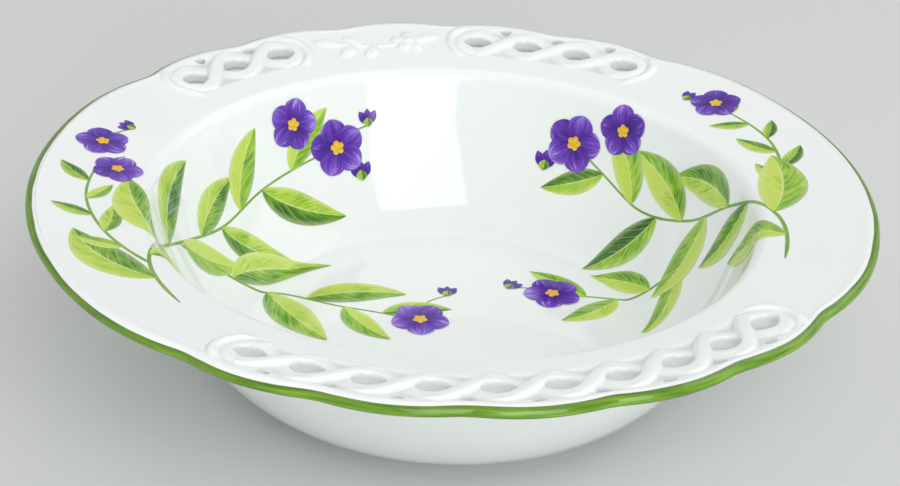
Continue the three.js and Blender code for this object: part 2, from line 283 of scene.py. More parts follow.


# Green enamel: painted along the lip with a broad brush, so it streaks along the edge; it is darker
# at the upper edge of the line, where the enamel gathers, and painted shade darkens the lower half
# of the lip, its underside
def brushedEnamel():
    material, tree, shader = newMaterial("brushedGreenEnamel")
    along = addNode(tree, "ShaderNodeUVMap", uv_map="lipRun")  # metres along, share across the line
    stretch = addNode(tree, "ShaderNodeMapping", {
        "Vector": along.outputs["UV"], "Scale": (1 / (14 * mm), 5.0, 1.0)})
    streak = addNode(tree, "ShaderNodeTexNoise", {
        "Vector": stretch.outputs["Vector"], "Scale": 1.0, "Detail": 4.0})
    paint = addNode(tree, "ShaderNodeValToRGB", {"Fac": streak.outputs["Fac"]})
    setStops(paint.color_ramp, ((0.3, ink("#4f7a14")), (0.72, ink("#86b62e"))))
    split = addNode(tree, "ShaderNodeSeparateXYZ", {"Vector": along.outputs["UV"]})
    slow = addNode(tree, "ShaderNodeMapping", {
        "Vector": along.outputs["UV"], "Scale": (1 / (22 * mm), 0.4, 1.0)})
    waver = addNode(tree, "ShaderNodeTexNoise", {"Vector": slow.outputs["Vector"], "Scale": 1.0})
    across = addNode(tree, "ShaderNodeMath", {  # about 0.06 where the line starts, 1.06 below
        0: waver.outputs["Fac"], 1: 0.12, 2: split.outputs["Y"]}, operation="MULTIPLY_ADD")
    # darker at the upper edge where the enamel gathers, and painted shade over the lower half, the
    # lip's underside
    side = addNode(tree, "ShaderNodeValToRGB", {"Fac": across.outputs[0]})
    gatherAndShadeStops = (0.15, 0.5), (0.98, 1.0), (0.24, 0.1), (0.55, 0.0), (0.76, 0.75)
    setStops(side.color_ramp, [(place, (grey, grey, grey, 1)) for place, grey in gatherAndShadeStops])
    # dark olive for the gathered enamel and for the painted shade under the lip
    tone = addNode(tree, "ShaderNodeMix", {
        "Factor": side.outputs["Color"], "A": paint.outputs["Color"], "B": ink("#42590f")},
        data_type="RGBA")
    start = addNode(tree, "ShaderNodeMapRange", {
        "Value": across.outputs[0], "From Min": 0.05, "From Max": 0.075})
    line = addNode(tree, "ShaderNodeMix", {
        "Factor": start.outputs["Result"], "A": ink("#f0f5f3"), "B": tone.outputs["Result"]},
        data_type="RGBA")
    coat(tree, shader, line.outputs["Result"], 0.05)
    return material


# Leaf enamel: washed on in two greens, one for each half of the leaf, in strokes that follow the
# side veins and run out pale at the edge; the veins are scratched through it
def leafEnamel():
    material, tree, shader = newMaterial("leafEnamel")
    uv = addNode(tree, "ShaderNodeUVMap", uv_map="leafRun")  # across the leaf, along the leaf
    split = addNode(tree, "ShaderNodeSeparateXYZ", {"Vector": uv.outputs["UV"]})
    tone = addNode(tree, "ShaderNodeAttribute", attribute_name="leafTone")
    offset = addNode(tree, "ShaderNodeMath", {0: split.outputs["X"], 1: 0.5}, operation="SUBTRACT")
    half = addNode(tree, "ShaderNodeMath", {0: offset.outputs[0]}, operation="ABSOLUTE")
    lean = addNode(tree, "ShaderNodeMath", {  # the same all along a side vein
        0: half.outputs[0], 1: -0.55, 2: split.outputs["Y"]}, operation="MULTIPLY_ADD")
    place = addNode(tree, "ShaderNodeTexCoord")
    wash = addNode(tree, "ShaderNodeTexNoise", {
        "Vector": place.outputs["Object"], "Scale": 1 / (7 * mm), "Detail": 3.0})
    brush = addNode(tree, "ShaderNodeCombineXYZ", {
        "X": lean.outputs[0], "Y": split.outputs["X"], "Z": tone.outputs["Fac"]})
    drawn = addNode(tree, "ShaderNodeMapping", {
        "Vector": brush.outputs["Vector"], "Scale": (26.0, 3.0, 40.0)})
    stroke = addNode(tree, "ShaderNodeTexNoise", {
        "Vector": drawn.outputs["Vector"], "Scale": 1.0, "Detail": 3.0})
    step = addNode(tree, "ShaderNodeMath", {
        0: split.outputs["X"], 1: 0.5}, operation="GREATER_THAN")
    halves = addNode(tree, "ShaderNodeMath", {
        0: step.outputs[0], 1: 0.42, 2: wash.outputs["Fac"]}, operation="MULTIPLY_ADD")
    mixed = addNode(tree, "ShaderNodeMath", {
        0: split.outputs["X"], 1: 0.45, 2: halves.outputs[0]}, operation="MULTIPLY_ADD")
    toned = addNode(tree, "ShaderNodeMath", {
        0: mixed.outputs[0], 1: tone.outputs["Fac"]}, operation="ADD")
    streak = addNode(tree, "ShaderNodeMapRange", {
        "Value": stroke.outputs["Fac"], "From Min": 0.3, "From Max": 0.7,
        "To Min": -0.3, "To Max": 0.3})
    shade = addNode(tree, "ShaderNodeMath", {
        0: toned.outputs[0], 1: streak.outputs["Result"]}, operation="ADD")
    scaled = addNode(tree, "ShaderNodeMath", {  # from 0 to 1, as the ramp runs
        0: shade.outputs[0], 1: 0.5}, operation="MULTIPLY")
    green = addNode(tree, "ShaderNodeValToRGB", {"Fac": scaled.outputs[0]})
    setStops(green.color_ramp, ((0.2, ink("#c3da56")), (0.425, ink("#8dbd27")),
                                (0.6, ink("#549019")), (0.8, ink("#285a12"))))
    fringe = addNode(tree, "ShaderNodeMapRange", {
        "Value": half.outputs[0], "From Min": 0.3, "From Max": 0.5, "To Max": 0.75})
    thin = addNode(tree, "ShaderNodeMath", {
        0: fringe.outputs["Result"], 1: stroke.outputs["Fac"]}, operation="MULTIPLY")
    washed = addNode(tree, "ShaderNodeMix", {
        "Factor": thin.outputs[0], "A": green.outputs["Color"], "B": ink("#dfeab0")},
        data_type="RGBA")
    rows = addNode(tree, "ShaderNodeMath", {0: lean.outputs[0], 1: 7.0}, operation="MULTIPLY")
    beat = addNode(tree, "ShaderNodeMath", {0: rows.outputs[0], 1: 0.5}, operation="PINGPONG")
    vein = addNode(tree, "ShaderNodeMapRange", {
        "Value": beat.outputs[0], "From Max": 0.06, "To Min": 0.9, "To Max": 0.0})
    broken = addNode(tree, "ShaderNodeMath", {
        0: vein.outputs["Result"], 1: wash.outputs["Fac"]}, operation="MULTIPLY")
    spine = addNode(tree, "ShaderNodeMapRange", {
        "Value": half.outputs[0], "From Min": 0.012, "From Max": 0.035,
        "To Min": 0.75, "To Max": 0.0})
    lines = addNode(tree, "ShaderNodeMath", {
        0: broken.outputs[0], 1: spine.outputs["Result"]}, operation="MAXIMUM")
    veined = addNode(tree, "ShaderNodeMix", {
        "Factor": lines.outputs[0], "A": washed.outputs["Result"], "B": ink("#d6e69a")},
        data_type="RGBA")
    coat(tree, shader, veined.outputs["Result"], 0.09)
    return material


# Petal enamel: violet, deep at the heart and paler outwards, streaked by the brush, with pale lights
def petalEnamel():
    material, tree, shader = newMaterial("petalEnamel")
    uv = addNode(tree, "ShaderNodeUVMap", uv_map="leafRun")
    split = addNode(tree, "ShaderNodeSeparateXYZ", {"Vector": uv.outputs["UV"]})
    tone = addNode(tree, "ShaderNodeAttribute", attribute_name="leafTone")
    brush = addNode(tree, "ShaderNodeCombineXYZ", {
        "X": split.outputs["X"], "Y": split.outputs["Y"], "Z": tone.outputs["Fac"]})
    drawn = addNode(tree, "ShaderNodeMapping", {
        "Vector": brush.outputs["Vector"], "Scale": (9.0, 1.6, 60.0)})
    stroke = addNode(tree, "ShaderNodeTexNoise", {
        "Vector": drawn.outputs["Vector"], "Scale": 1.0, "Detail": 3.0})
    outward = addNode(tree, "ShaderNodeMath", {
        0: split.outputs["Y"], 1: 0.55, 2: tone.outputs["Fac"]}, operation="MULTIPLY_ADD")
    shade = addNode(tree, "ShaderNodeMath", {
        0: stroke.outputs["Fac"], 1: 0.75, 2: outward.outputs[0]}, operation="MULTIPLY_ADD")
    violet = addNode(tree, "ShaderNodeValToRGB", {"Fac": shade.outputs[0]})
    setStops(violet.color_ramp, ((0.4, ink("#35156f")), (0.64, ink("#5427a0")),
                                 (0.84, ink("#7146bd")), (1.0, ink("#9b7dd8"))))
    ring = addNode(tree, "ShaderNodeMapRange", {
        "Value": split.outputs["Y"], "From Min": 0.55, "From Max": 0.85, "To Max": 0.7})
    bright = addNode(tree, "ShaderNodeMapRange", {
        "Value": stroke.outputs["Fac"], "From Min": 0.56, "From Max": 0.68})
    lights = addNode(tree, "ShaderNodeMath", {
        0: ring.outputs["Result"], 1: bright.outputs["Result"]}, operation="MULTIPLY")
    petal = addNode(tree, "ShaderNodeMix", {
        "Factor": lights.outputs[0], "A": violet.outputs["Color"], "B": ink("#cbbbee")},
        data_type="RGBA")
    coat(tree, shader, petal.outputs["Result"], 0.09)
    return material


# Heart enamel: dabs of yellow that turn orange to one side
def heartEnamel():
    material, tree, shader = newMaterial("heartEnamel")
    uv = addNode(tree, "ShaderNodeUVMap", uv_map="leafRun")
    split = addNode(tree, "ShaderNodeSeparateXYZ", {"Vector": uv.outputs["UV"]})
    yellow = addNode(tree, "ShaderNodeMix", {
        "Factor": split.outputs["Y"], "A": ink("#f0cf3a"), "B": ink("#e2a021")}, data_type="RGBA")
    coat(tree, shader, yellow.outputs["Result"], 0.1)
    return material


# Stem enamel: one thin line of olive green, lighter and darker on its way
def stemEnamel():
    material, tree, shader = newMaterial("stemEnamel")
    place = addNode(tree, "ShaderNodeTexCoord")
    wash = addNode(tree, "ShaderNodeTexNoise", {
        "Vector": place.outputs["Object"], "Scale": 1 / (11 * mm)})
    olive = addNode(tree, "ShaderNodeMix", {
        "Factor": wash.outputs["Fac"], "A": ink("#5e8a24"), "B": ink("#9cc04c")}, data_type="RGBA")
    coat(tree, shader, olive.outputs["Result"], 0.1)
    return material


# Bare biscuit: the ring under the foot is wiped free of glaze, so it is matt and slightly warm
def bareBiscuit():
    material, tree, shader = newMaterial("bareBiscuit")
    place = addNode(tree, "ShaderNodeTexCoord")
    grit = addNode(tree, "ShaderNodeTexNoise", {
        "Vector": place.outputs["Object"], "Scale": 1 / (1.5 * mm), "Detail": 4.0})
    tone = addNode(tree, "ShaderNodeMix", {
        "Factor": grit.outputs["Fac"], "A": ink("#e6e3da"), "B": ink("#f2f0ea")}, data_type="RGBA")
    tree.links.new(tone.outputs["Result"], shader.inputs["Base Color"])
    shader.inputs["Roughness"].default_value = 0.7
    return material


porcelain = glazedPorcelain()
enamelGreen = brushedEnamel()
biscuit = bareBiscuit()


# A chain through (radius, height) points in mm, spun round the axis
def spinProfile(bm, points, steps, closed=False):
    verts = [bm.verts.new((r * mm, 0, z * mm)) for r, z in points]
    ends = verts[1:] + verts[:1] if closed else verts[1:]
    edges = [bm.edges.new(pair) for pair in zip(verts, ends)]
    bmesh.ops.spin(bm, geom=verts + edges, axis=(0, 0, 1), cent=(0, 0, 0), angle=fullTurn,
                   steps=steps, use_merge=True)
    bmesh.ops.remove_doubles(bm, verts=bm.verts[:], dist=tiny * mm)


# Well and foot: one turned skin, from the floor over the shoulder and back to the foot
well = {
    "turnSteps": 288,
    "shoulderSteps": 12,
    "bellySteps": 40,
    "arcSteps": 5,
    "baseSteps": 6,
    "footRound": 1.4,  # rounding of the foot ring
    "footFillet": 1.8,  # glaze fillet between the foot and the belly
    "filletRoom": 1.2,  # the belly's own points stop this far from it
    "bareHeight": 0.35,  # faces below this are wiped free of glaze
}


def arcPoints(centre, radius, start, end):
    angles = [math.radians(start + (end - start) * t) for t in shares(well["arcSteps"])]
    return [(centre[0] + radius * math.cos(a), centre[1] + radius * math.sin(a)) for a in angles]


def makeWell():
    bm = bmesh.new()
    under, footTop = section["wall"], section["footHeight"]
    fillet, rounding = well["footFillet"], well["footRound"]
    outer = section["footRadius"]
    inner = outer - section["footWidth"]
    points = insideSection()
    points += [(r, plateTop(r) - plateDrop(r)) for r in (section["rimStart"], section["plateJoin"])]
    shoulder = section["shoulder"] - under
    points += [shoulderPoint(1 - t, shoulder) for t in shares(well["shoulderSteps"])]
    belly = [covePoint(1 - t, under) for t in shares(well["bellySteps"])[1:]]
    points += [(r, z) for r, z in belly if r > outer + fillet + well["filletRoom"]]
    points += arcPoints((outer + fillet, footTop - fillet), fillet, 90, 180)
    points += arcPoints((outer - rounding, rounding), rounding, 0, -90)
    points += arcPoints((inner + rounding, rounding), rounding, 270, 180)
    points += arcPoints((inner - fillet, footTop - fillet), fillet, 0, 90)
    points += [((inner - fillet) * (1 - t), footTop) for t in shares(well["baseSteps"])[1:]]
    spinProfile(bm, points, well["turnSteps"])
    bmesh.ops.dissolve_degenerate(bm, edges=bm.edges[:], dist=tiny / 2 * mm)
    for e in bm.edges:  # the hidden end face against the rim stays out of the shading
        if all(abs(radiusOf(v) - section["rimStart"]) < tiny for v in e.verts):
            e.smooth = False
    for face in bm.faces:
        face.material_index = 1 if face.calc_center_median().z < well["bareHeight"] * mm else 0
    finishPiece(bm, "bowlWell", [porcelain, biscuit], "porcelain", "well", "foot_ring")


# Openwork: ribbons in relief, in mm
lattice = {
    "border": 7.9,  # from the start of the plate to the openwork
    "halfWidth": 5.6 + 2.2,  # swing and half a ribbon of the solids
    "swing": 5.7,
    "ribbonHalf": 2.6,  # half width of a ribbon with its glaze
    "ribbonPowers": (3, 0.6),  # a flat back with round edges
    "endReach": 5.0,
    "endRoom": 14.0,  # a panel's relief goes this far past its last eye
    "crown": 0.48,  # height of a ribbon over the plate
    "recess": 0.6,  # depth of the ground beside a ribbon
    "sideEase": (-2.2, 0.4),  # the ground climbs between these, at the sides
    "endEase": (-0.6, 0.8),  # and at the ends, from the edge of the ribbon
    "weave": 0.65,  # rise and dip at the crossings
    "eyeLong": 4.9,  # half length of an eye along the panel
    "eyeWide": 3.7,
    "eyeCorner": 1.9,  # 1 is a rhombus, 2 is an ellipse
    "piercingLong": 2.0,
    "piercingWide": 1.6,
    "piercingFlare": 0.45,  # wider to the outside by this share
    "piercingLeast": 0.2,  # and never narrower than this share
    "piercingIn": 3.1,  # from the lip to the middle of a piercing
    "holeBox": (6.0, 5.0),  # no hole reaches further
    "beadOut": 4.5,  # rib round an end turn, from the ribbon's middle
    "beadHalf": 1.5,
    "beadHeight": 0.95,
    "beadFade": (0.35, 0.8),  # it dies away to the sides
}
middleRadius = plateStart + lattice["border"] + lattice["halfWidth"]
frontAngle, backAngle = math.radians(8.56), math.radians(9.01)  # pitch of the eyes
backMiddle = math.pi / 2 - math.radians(0.92)  # the openwork behind is turned a little
panels = [  # eyes, their pitch in mm, and the direction of the panel's middle
    (10, frontAngle * middleRadius, -math.pi / 2),
    (4, backAngle * middleRadius, backMiddle - 3.0 * backAngle),
    (3, backAngle * middleRadius, backMiddle + 3.5 * backAngle),
]


def ribbonRise(distance):  # height of a ribbon over its ground
    share = min(1.0, distance / lattice["ribbonHalf"])
    flat, edged = lattice["ribbonPowers"]
    return (lattice["crown"] + lattice["recess"]) * (1 - share ** flat) ** edged


def panelRelief(eyes, pitch, along, across):
    half = (eyes - 1) / 2 * pitch
    swing, recess, ribbon = lattice["swing"], lattice["recess"], lattice["ribbonHalf"]
    past = abs(along) - half
    if past <= 0:
        phase = math.pi * (along + half) / pitch
        steep = math.hypot(1, swing * math.pi / pitch * math.sin(phase))
        low, high = (swing + ribbon + ease for ease in lattice["sideEase"])
        ground = -recess * (1 - smoothStep(low, high, abs(across)))
        best = ground
        for side in (1, -1):
            rise = ribbonRise(abs(across - side * swing * math.cos(phase)) / steep)
            if rise > 0:
                weave = side * lattice["weave"] * math.sin(phase) * min(1, rise)
                best = max(best, ground + rise + weave)
        return best
    ring = max(1e-6, math.hypot(past / lattice["endReach"], across / swing))
    outwards = math.hypot(past, across) * (1 - 1 / ring)
    low, high = (ribbon + ease for ease in lattice["endEase"])
    ground = -recess * (1 - smoothStep(low, high, outwards))
    best = ground + ribbonRise(abs(outwards))
    bead = 1 - ((outwards - lattice["beadOut"]) / lattice["beadHalf"]) ** 2
    if bead > 0:
        fade = smoothStep(*lattice["beadFade"], past / math.hypot(past, across))
        best = max(best, lattice["beadHeight"] * math.sqrt(bead) * fade)
    return best


# Sprig: petals and leaves as low mounds, placed in mm to the right of and outwards from its middle
sprig = {
    "angle": backMiddle + 0.5 * backAngle,
    "box": (24.0, 12.0),  # all of it lies within
    "flower": (11.0, -1.2),
    "petals": 5,
    "petal": (6.5, 4.6, 1.3),  # length, width, height
    "heart": (2.3, 1.7),  # radius, height
    "leaf": (9.0, 4.4, 1.2),
    "leaves": ((13.5, -0.2, 22), (-0.5, -2.9, -128), (-5.4, -2.5, 128), (-8.2, -2.0, -140),
               (-13.4, -0.2, 158)),
    "midrib": (0.25, 0.45),  # depth as a share of the height, and half width
    "stem": (13.8, 2.9, 0.8, 0.7),  # half length, sag, half width, height
}


def mound(x, y, angle, length, width, height):  # a lens that starts at 0, 0 and lies along the angle
    along = x * math.cos(angle) + y * math.sin(angle)
    across = -x * math.sin(angle) + y * math.cos(angle)
    out = ((along - length / 2) / (length / 2)) ** 2 + (across / (width / 2)) ** 2
    if out >= 1:
        return 0.0
    depth, half = sprig["midrib"]
    groove = depth * math.exp(-(across / half) ** 2)
    return height * (math.sqrt(1 - out) - groove * (1 - out))


def sprigRelief(angle, radius):
    x = math.remainder(sprig["angle"] - angle, fullTurn) * middleRadius
    y = radius - middleRadius
    if abs(x) > sprig["box"][0] or abs(y) > sprig["box"][1]:
        return 0.0
    half, sag, stemHalf, stemHeight = sprig["stem"]
    best = 0.0
    if abs(x) < half:
        off = abs(y + sag * (1 - (x / half) ** 2)) / stemHalf
        best = stemHeight * math.sqrt(max(0.0, 1 - off * off))
    fx, fy = sprig["flower"]
    for i in range(sprig["petals"]):
        turnTo = math.pi * (0.5 + 2 * i / sprig["petals"])
        best = max(best, mound(x - fx, y - fy, turnTo, *sprig["petal"]))
    radiusHeart, heightHeart = sprig["heart"]
    heart = 1 - ((x - fx) ** 2 + (y - fy) ** 2) / radiusHeart ** 2
    best = max(best, heightHeart * math.sqrt(max(0.0, heart)))
    for lx, ly, degrees in sprig["leaves"]:
        best = max(best, mound(x - lx, y - ly, math.radians(degrees), *sprig["leaf"]))
    return best


def relief(angle, radius):
    for eyes, pitch, middle in panels:
        along = math.remainder(angle - middle, fullTurn) * middleRadius
        if abs(along) < (eyes - 1) / 2 * pitch + lattice["endRoom"]:
            return panelRelief(eyes, pitch, along, radius - middleRadius)
    return sprigRelief(angle, radius)


def eye(x, y):  # below 1 inside the hole
    corner = lattice["eyeCorner"]
    return (abs(x) / lattice["eyeLong"]) ** corner + (abs(y) / lattice["eyeWide"]) ** corner


def piercing(x, y):
    wide = lattice["piercingWide"]
    flare = max(lattice["piercingLeast"], 1 + lattice["piercingFlare"] * y / wide)
    return (x / (lattice["piercingLong"] * flare)) ** 2 + (y / wide) ** 2


def holeShapes():  # middle angle, radius, and the function of the outline
    shapes = []
    for eyes, pitch, middle in panels:
        step = pitch / middleRadius
        for i in range(eyes):
            shapes.append((middle + (i - (eyes - 1) / 2) * step, middleRadius, eye))
        for i in range(eyes - 1):
            angle = middle + (i - (eyes - 2) / 2) * step
            radius = edgeRadius(angle) - edge["bandDepth"] - lattice["piercingIn"]
            shapes.append((angle, radius, piercing))
    return shapes


# Rim: a round plate whose vertices follow the relief of the openwork, with the eyes cut through it
rim = {
    "sweeps": (  # from, to in degrees, and columns, close together in the panels
        (-136.5, -43.5, 380), (-43.5, 39.5, 40), (39.5, 137.5, 400), (137.5, 223.5, 40)),
    "fineFrom": -10.5,  # the close rows, in mm from the middle of the openwork
    "fineTo": 9.0,
    "rows": (5, 43, 5),  # before, through and after the openwork
    "growMost": 8.0,  # a vertex inside a hole moves out by up to this factor
    "halvings": 24,
    "lipEase": 3.6,  # the plate takes up the scallops over this width
    "tuckDrop": 0.05,  # the hidden start lies this far under the skin of the well
    "tuckEnd": 0.1,  # and is level with it this far past the well's end
    "poolAndShadeMost": 0.75,  # darkest share of the pooled glaze and painted shade in the hollows
    "holeShade": 0.5,  # painted shade on the sides of the eyes
    "holeCuts": 2,
    "soften": 0.4,
    "topBand": 2.0,  # the upper skin lies no deeper than this
}


def makeRim():
    bm = bmesh.new()
    poolAndShade = bm.verts.layers.float.new("glazePoolAndShade")
    start = section["rimStart"]
    low, high = start - section["rimTuck"], edge["crest"] - edge["bandDepth"]
    inner, outer = middleRadius + rim["fineFrom"], middleRadius + rim["fineTo"]
    before, through, after = rim["rows"]
    radii = [low] + [start + (inner - start) * t for t in shares(before)[:-1]]
    radii += [inner + (outer - inner) * t for t in shares(through)[:-1]]
    radii += [outer + (high - outer) * t for t in shares(after)]
    turns = []
    for first, last, steps in rim["sweeps"]:
        turns += [math.radians(first + (last - first) * t) for t in shares(steps)[:-1]]
    turns.append(turns[0] + fullTurn)
    columns, rows = len(turns) - 1, len(radii) - 1
    for level in (1, -1):  # top, then underside
        grid = bmesh.ops.create_grid(bm, x_segments=columns, y_segments=rows, size=0.5)["verts"]
        for v in grid:
            angle = turns[round((v.co.x + 0.5) * columns)]
            radius = radii[round((v.co.y + 0.5) * rows)]
            v.co = (radius * math.cos(angle) * mm, radius * math.sin(angle) * mm, level)
    bmesh.ops.remove_doubles(bm, verts=bm.verts[:], dist=tiny * mm)
    for border in (low, high):
        rounds = [e for e in bm.edges if e.is_boundary and abs(radiusOf(e.verts[0]) - border) < tiny]
        bmesh.ops.bridge_loops(bm, edges=rounds)
    print("rim laid out,", len(bm.verts), "vertices")

    # cut the holes: faces inside go, and the vertices left there move out to the outline
    polar = {v: (angleOf(v), radiusOf(v)) for v in bm.verts}
    shapes = holeShapes()
    within = {}
    boxLong, boxWide = lattice["holeBox"]
    for v, (angle, radius) in polar.items():
        for index, (middle, centre, shape) in enumerate(shapes):
            x, y = math.remainder(angle - middle, fullTurn) * centre, radius - centre
            if abs(x) < boxLong and abs(y) < boxWide and shape(x, y) < 1:
                within[v] = index, x, y
                break
    holes = [f for f in bm.faces if all(v in within for v in f.verts)]
    bmesh.ops.delete(bm, geom=holes, context="FACES")
    for v, (index, x, y) in within.items():
        if not v.is_valid:
            continue
        middle, centre, shape = shapes[index]
        inside, outside = 1.0, rim["growMost"]
        for _ in range(rim["halvings"]):
            scale = (inside + outside) / 2
            if shape(x * scale, y * scale) < 1:
                inside = scale
            else:
                outside = scale
        polar[v] = (middle + x * inside / centre, centre + y * inside)

    # place the vertices: the edge follows the scallops and the top has the relief
    for v in bm.verts:
        angle, radius = polar[v]
        nearLip = smoothStep(high - rim["lipEase"], high, radius)
        radius += (edgeRadius(angle) - edge["crest"]) * nearLip
        tuck = rim["tuckDrop"] * (1 - smoothStep(low, start + rim["tuckEnd"], radius))
        height = plateTop(radius)
        if v.co.z > 0:
            rise = relief(angle, radius) - tuck
            height += rise + edge["bandProud"] * nearLip
            # the deeper the hollow, the more pooled glaze and painted shade
            v[poolAndShade] = min(rim["poolAndShadeMost"], max(0.0, -rise - tuck))
        else:
            height -= plateDrop(radius) - tuck + edge["bandProud"] * nearLip
        v.co = polarPoint(angle, radius, height)
    topPanel = [v for v in bm.verts if relief(*polar[v]) != 0 and not v.is_boundary
                and v.co.z / mm > plateTop(polar[v][1]) - rim["topBand"]]
    bmesh.ops.smooth_vert(bm, verts=topPanel, factor=rim["soften"], use_axis_x=False,
                          use_axis_y=False, use_axis_z=True)

    # walls of the holes, from the outline above to the one below
    rings = {}
    for e in bm.edges:
        if e.is_boundary and all(v in within for v in e.verts):
            rings.setdefault(within[e.verts[0]][0], []).append(e)
    for edges in rings.values():
        walls = bmesh.ops.bridge_loops(bm, edges=edges)["edges"]
        cut = bmesh.ops.subdivide_edges(bm, edges=walls, cuts=rim["holeCuts"])["geom_inner"]
        for v in cut:
            if isinstance(v, bmesh.types.BMVert):
                # the sides of the eyes get painted shade, the same grey tone
                v[poolAndShade] = rim["holeShade"]
    for e in bm.edges:  # hidden end faces stay out of the shading
        reach = [polar.get(v, (0, 0))[1] for v in e.verts]
        if any(all(abs(r - border) < tiny for r in reach) for border in (low, high)):
            e.smooth = False
    finishPiece(bm, "bowlRim", [porcelain], "porcelain", "rim", "front_lattice",
                "back_right_lattice", "back_left_lattice", "flower_sprig")


# Green lip: a half-round strip with a tongue, spun and then drawn in at the notches
def makeEdge():
    bm = bmesh.new()
    inside = edge["crest"] - edge["bandDepth"]
    half = plateDrop(inside) / 2 + edge["bandProud"]
    arc = [math.pi * (0.5 - t) for t in shares(edge["bandSteps"])]
    points = [(inside + edge["bandDepth"] * math.cos(a), half * math.sin(a)) for a in arc]
    root, drop = inside - edge["tongue"][0], edge["tongue"][1]
    points = [(root, half - drop)] + points + [(root, drop - half)]
    spinProfile(bm, points, edge["turnSteps"], closed=True)
    run = bm.loops.layers.uv.new("lipRun")
    for face in bm.faces:
        spot = face.calc_center_median()
        middle = math.atan2(spot.y, spot.x)
        for loop in face.loops:
            angle = middle + math.remainder(angleOf(loop.vert) - middle, fullTurn)
            share = math.acos(min(1, max(-1, loop.vert.co.z / mm / half))) / math.pi
            if radiusOf(loop.vert) < root + tiny:
                share = 0.0
            start = lineStart(angle)
            loop[run].uv = (angle * edge["crest"] * mm, (share - start) / (1 - start))
        if all(radiusOf(v) < root + tiny for v in face.verts):
            for side in face.edges:
                side.smooth = False  # the hidden inner face stays out of the shading
    for v in bm.verts:
        angle = angleOf(v)
        shift = edgeRadius(angle) - edge["crest"]
        height = v.co.z / mm + plateTop(inside + shift) - plateDrop(inside) / 2
        v.co = polarPoint(angle, radiusOf(v) + shift, height)
    finishPiece(bm, "greenLip", [enamelGreen], "green_enamel", "green_edge")


makeWell()
makeRim()
makeEdge()

# Painted sprays: enamel laid on the glaze, placed by direction in degrees and by the
# distance in mm from the middle of the floor, measured over the surface
platePath = (108, 116, 122.5)  # radii on the plate
glazePath = insideSection()[1:] + [(r, plateTop(r)) for r in platePath]
glazeRun = [glazePath[0][0]]
for (r0, z0), (r1, z1) in zip(glazePath, glazePath[1:]):
    glazeRun.append(glazeRun[-1] + math.hypot(r1 - r0, z1 - z0))


def glazeSpot(run):  # radius, height and normal at a distance from the middle
    i = min(max(bisect.bisect(glazeRun, run), 1), len(glazeRun) - 1)
    t = (run - glazeRun[i - 1]) / (glazeRun[i] - glazeRun[i - 1])
    (r0, z0), (r1, z1) = glazePath[i - 1], glazePath[i]
    size = math.hypot(r1 - r0, z1 - z0)
    return r0 + (r1 - r0) * t, z0 + (z1 - z0) * t, -(z1 - z0) / size, (r1 - r0) / size


def onGlaze(base, x, y, lift):  # x mm around and y mm outwards from a base point
    degrees, run = base
    if run < section["floorRadius"]:  # flat, so a stroke keeps its shape near the middle
        radius, height, normalOut, normalUp = glazeSpot(math.hypot(run + y, x))
        angle = math.radians(degrees) + math.atan2(x, run + y)
    else:
        radius, height, normalOut, normalUp = glazeSpot(run + y)
        angle = math.radians(degrees) + x / radius
    return polarPoint(angle, radius + lift * normalOut, height + lift * normalUp)


def pathSpot(path, t):  # a smooth curve through (degrees, run) points, and its direction
    def at(share):
        place = min(max(share, 0), 1) * (len(path) - 1)
        i = min(int(place), len(path) - 2)
        f = place - i
        p = [path[min(max(k, 0), len(path) - 1)] for k in range(i - 1, i + 3)]
        return [0.5 * (2 * p[1][c] + (p[2][c] - p[0][c]) * f
                       + (2 * p[0][c] - 5 * p[1][c] + 4 * p[2][c] - p[3][c]) * f * f
                       + (3 * p[1][c] - p[0][c] - 3 * p[2][c] + p[3][c]) * f ** 3) for c in (0, 1)]
    nudge = 0.01
    spot, before, after = at(t), at(t - nudge), at(t + nudge)
    around = math.radians(after[0] - before[0]) * glazeSpot(spot[1])[0]
    return tuple(spot), math.atan2(after[1] - before[1], around)


enamel = {
    "film": 0.04,
    "stems": (0.04, 0.002),  # lift of the first stroke over the glaze, and of each one over the last
    "leaves": (0.06, 0.008),
    "petals": (0.21, 0.005),
    "hearts": (0.3, 0.003),
    "layers": 15,  # after so many strokes the next one starts low again
    "bladeGrid": (12, 26),  # faces across and along
    "lineGrid": (2, 12),  # across, and along for each point of the path
    "dabSides": 18,
    "bladeEnd": 0.02,  # half width left at both ends
    "lineTaper": (0.5, 0.3, 12),  # loss to the end, width at the start, and how fast that grows
    "sharpAngle": 0.8,
}


